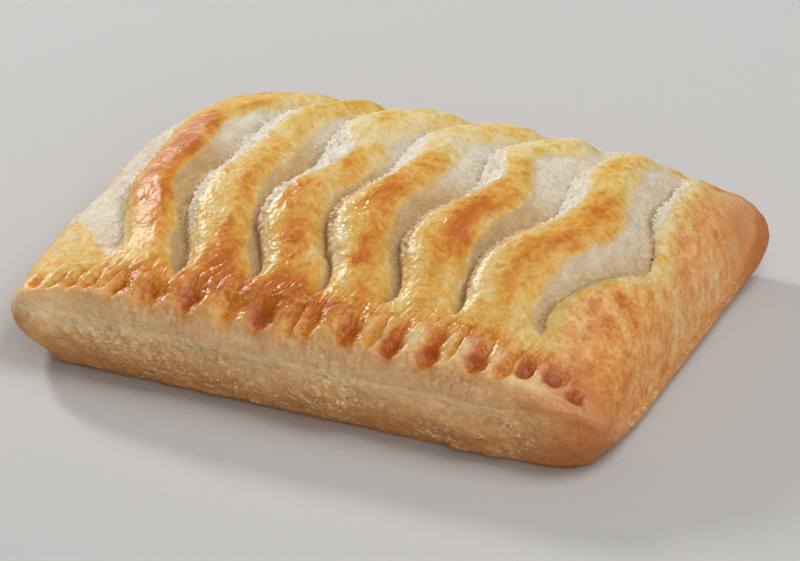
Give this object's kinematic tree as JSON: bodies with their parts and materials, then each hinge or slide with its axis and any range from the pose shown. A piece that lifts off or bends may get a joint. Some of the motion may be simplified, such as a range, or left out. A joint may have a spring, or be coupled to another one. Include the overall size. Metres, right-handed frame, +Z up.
{
  "type": "chicken bake",
  "caption": "Rectangular puff pastry bake with a domed, wavy-slashed lid, a crimped long edge on each side, a pale layered wall and a flat base.",
  "frame": {"origin": "centre of the bounding box at the flat base", "axes": "+X along the long side, +Y across it from the front edge to the back edge, +Z up through the domed lid"},
  "size_m": [0.1488, 0.1102, 0.0366],
  "materials": {
    "crust": "baked puff pastry: glossy browned ridges, matte pale dough between them, layered pale walls"
  },
  "bodies": {
    "root": {"bake": "crust"}
  },
  "joints": []
}
